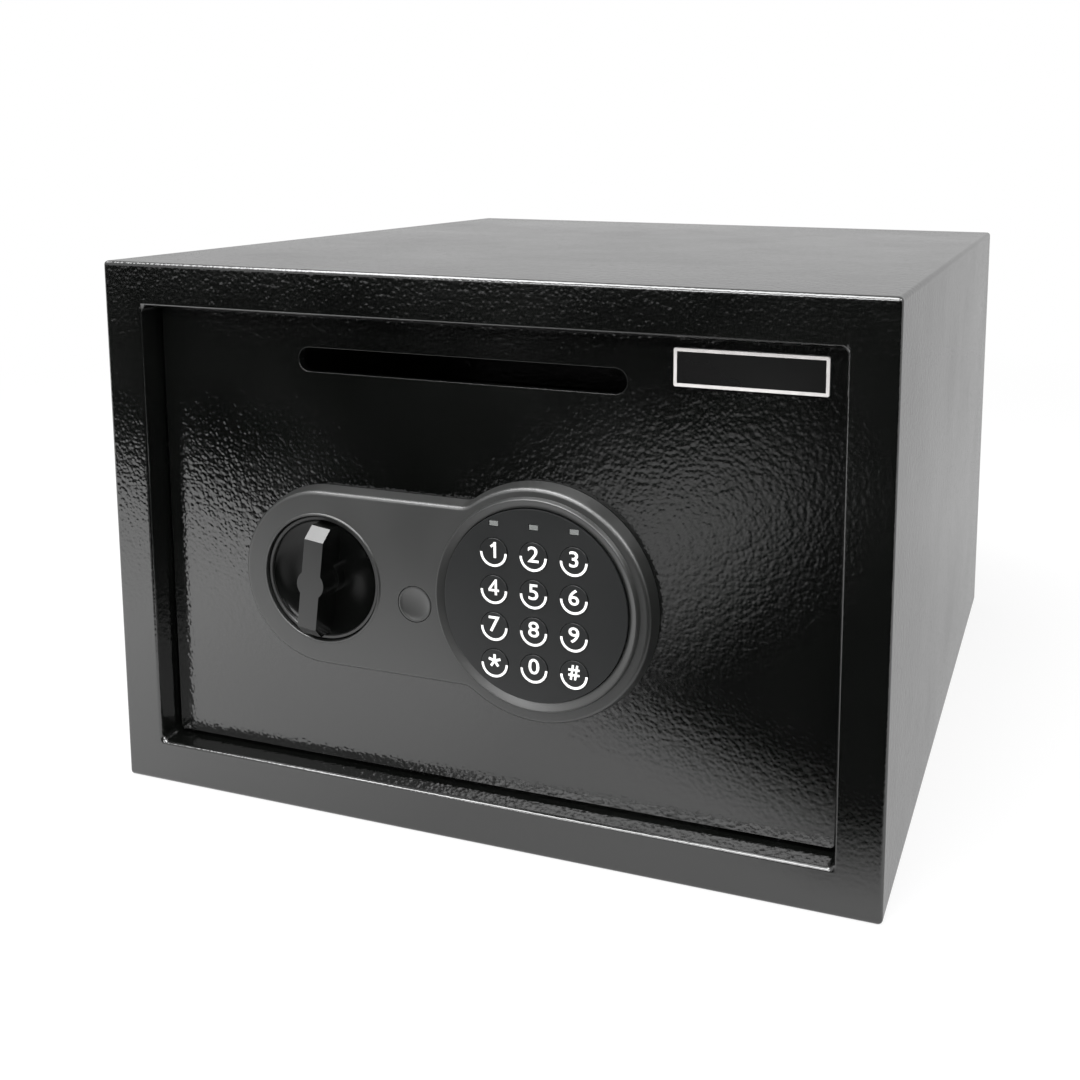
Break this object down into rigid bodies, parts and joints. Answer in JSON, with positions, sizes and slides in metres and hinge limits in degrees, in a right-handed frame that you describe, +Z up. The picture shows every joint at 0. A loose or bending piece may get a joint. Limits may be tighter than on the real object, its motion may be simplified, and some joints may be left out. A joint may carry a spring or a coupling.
{
  "type": "deposit safe",
  "caption": "Box-shaped steel deposit safe with a recessed hinged door, deposit slot, turning lock knob, round keypad and sliding bolts.",
  "frame": {"origin": "centre of the footprint, on the underside of the body", "axes": "+Z up, +Y towards the rear panel, +X to the right of someone who faces the door"},
  "size_m": [0.365, 0.39, 0.25],
  "materials": {
    "powder_coat": "black orange-peel powder coat, glossy",
    "housing_plastic": "charcoal, satin",
    "face_plastic": "near-black, satin",
    "knob_plastic": "charcoal, satin",
    "lens_plastic": "smoked, clear",
    "plate_metal": "black with a bright plain border",
    "zinc_steel": "zinc plated",
    "polished_steel": "ground and polished",
    "brass": "turned",
    "coil_tape": "amber tape",
    "board": "green solder mask",
    "cover_plastic": "black, fine texture",
    "cell_jacket": "printed film without lettering",
    "red_plastic": "moulded red",
    "felt": "dark grey needle felt",
    "plug_rubber": "black",
    "cable_jacket": "grey"
  },
  "bodies": {
    "body": {"body_shell": "powder_coat", "rear_panel": "powder_coat", "anchor_plug_left": "plug_rubber", "anchor_plug_right": "plug_rubber", "floor_mat": "felt", "hinge_bracket_lower": "powder_coat", "hinge_bracket_upper": "powder_coat", "door_stop_lower": "powder_coat", "door_stop_upper": "powder_coat", "strike_bar": "powder_coat"},
    "door": {"door_plate": "powder_coat", "hinge_pin_lower": "zinc_steel", "hinge_pin_upper": "zinc_steel", "deposit_baffle": "powder_coat", "name_plate": "plate_metal", "lock_housing": "housing_plastic", "keypad_face": "face_plastic", "keypad_board": "board", "keypad_cable": "cable_jacket", "indicator_lens_1": "lens_plastic", "indicator_lens_2": "lens_plastic", "indicator_lens_3": "lens_plastic", "bolt_guide": "zinc_steel", "solenoid_frame": "zinc_steel", "solenoid_coil": "coil_tape", "override_cylinder": "zinc_steel", "inner_case": "cover_plastic", "case_screw_1": "zinc_steel", "case_screw_2": "zinc_steel", "case_screw_3": "zinc_steel", "case_screw_4": "zinc_steel", "circuit_board": "board", "battery_holder": "cover_plastic", "battery_cell_1": "cell_jacket", "battery_cell_2": "cell_jacket", "battery_cell_3": "cell_jacket", "battery_cell_4": "cell_jacket"},
    "knob": {"knob": "knob_plastic", "knob_spindle": "zinc_steel"},
    "bolts": {"bolt_carrier": "zinc_steel", "locking_bolt_lower": "polished_steel", "locking_bolt_upper": "polished_steel"},
    "plunger": {"solenoid_plunger": "polished_steel"},
    "emergency_plug": {"override_plug": "brass"},
    "key_cover": {"key_cover": "housing_plastic"},
    "battery_cover": {"battery_cover": "cover_plastic"},
    "reset_button": {"reset_button": "red_plastic"},
    "key_1": {"key_1": "face_plastic"},
    "key_2": {"key_2": "face_plastic"},
    "key_3": {"key_3": "face_plastic"},
    "key_4": {"key_4": "face_plastic"},
    "key_5": {"key_5": "face_plastic"},
    "key_6": {"key_6": "face_plastic"},
    "key_7": {"key_7": "face_plastic"},
    "key_8": {"key_8": "face_plastic"},
    "key_9": {"key_9": "face_plastic"},
    "key_star": {"key_star": "face_plastic"},
    "key_0": {"key_0": "face_plastic"},
    "key_hash": {"key_hash": "face_plastic"}
  },
  "joints": [
    {"name": "door_hinge", "type": "hinge", "parent": "body", "child": "door", "pos_m": [0.1365, -0.1695, 0.125], "axis": [0, 0, 1], "range_deg": [0, 100]},
    {"name": "knob_turn", "type": "hinge", "parent": "door", "child": "knob", "pos_m": [-0.073, -0.178, 0.1105], "axis": [0, -1, 0], "range_deg": [0, 90]},
    {"name": "bolt_slide", "type": "slide", "parent": "door", "child": "bolts", "axis": [-1, 0, 0], "range_m": [0, 0.01555]},
    {"name": "plunger_slide", "type": "slide", "parent": "door", "child": "plunger", "axis": [0, 0, -1], "range_m": [0, 0.0045], "stiffness_N_per_m": 60},
    {"name": "emergency_lock_turn", "type": "hinge", "parent": "door", "child": "emergency_plug", "pos_m": [-0.026, -0.17, 0.1045], "axis": [0, 1, 0], "range_deg": [0, 90]},
    {"name": "key_cover_pull", "type": "slide", "parent": "door", "child": "key_cover", "axis": [0, -1, 0], "range_m": [0, 0.014]},
    {"name": "battery_cover_slide", "type": "slide", "parent": "door", "child": "battery_cover", "axis": [1, 0, 0], "range_m": [0, 0.066]},
    {"name": "reset_press", "type": "slide", "parent": "door", "child": "reset_button", "axis": [0, -1, 0], "range_m": [0, 0.0015], "stiffness_N_per_m": 400},
    {"name": "key_1_press", "type": "slide", "parent": "door", "child": "key_1", "axis": [0, 1, 0], "range_m": [0, 0.0008], "stiffness_N_per_m": 400},
    {"name": "key_2_press", "type": "slide", "parent": "door", "child": "key_2", "axis": [0, 1, 0], "range_m": [0, 0.0008], "stiffness_N_per_m": 400},
    {"name": "key_3_press", "type": "slide", "parent": "door", "child": "key_3", "axis": [0, 1, 0], "range_m": [0, 0.0008], "stiffness_N_per_m": 400},
    {"name": "key_4_press", "type": "slide", "parent": "door", "child": "key_4", "axis": [0, 1, 0], "range_m": [0, 0.0008], "stiffness_N_per_m": 400},
    {"name": "key_5_press", "type": "slide", "parent": "door", "child": "key_5", "axis": [0, 1, 0], "range_m": [0, 0.0008], "stiffness_N_per_m": 400},
    {"name": "key_6_press", "type": "slide", "parent": "door", "child": "key_6", "axis": [0, 1, 0], "range_m": [0, 0.0008], "stiffness_N_per_m": 400},
    {"name": "key_7_press", "type": "slide", "parent": "door", "child": "key_7", "axis": [0, 1, 0], "range_m": [0, 0.0008], "stiffness_N_per_m": 400},
    {"name": "key_8_press", "type": "slide", "parent": "door", "child": "key_8", "axis": [0, 1, 0], "range_m": [0, 0.0008], "stiffness_N_per_m": 400},
    {"name": "key_9_press", "type": "slide", "parent": "door", "child": "key_9", "axis": [0, 1, 0], "range_m": [0, 0.0008], "stiffness_N_per_m": 400},
    {"name": "key_star_press", "type": "slide", "parent": "door", "child": "key_star", "axis": [0, 1, 0], "range_m": [0, 0.0008], "stiffness_N_per_m": 400},
    {"name": "key_0_press", "type": "slide", "parent": "door", "child": "key_0", "axis": [0, 1, 0], "range_m": [0, 0.0008], "stiffness_N_per_m": 400},
    {"name": "key_hash_press", "type": "slide", "parent": "door", "child": "key_hash", "axis": [0, 1, 0], "range_m": [0, 0.0008], "stiffness_N_per_m": 400}
  ],
  "couplings": [
    {"joint": "knob_turn", "follows": "bolt_slide", "rad_per_m": 100.97}
  ]
}
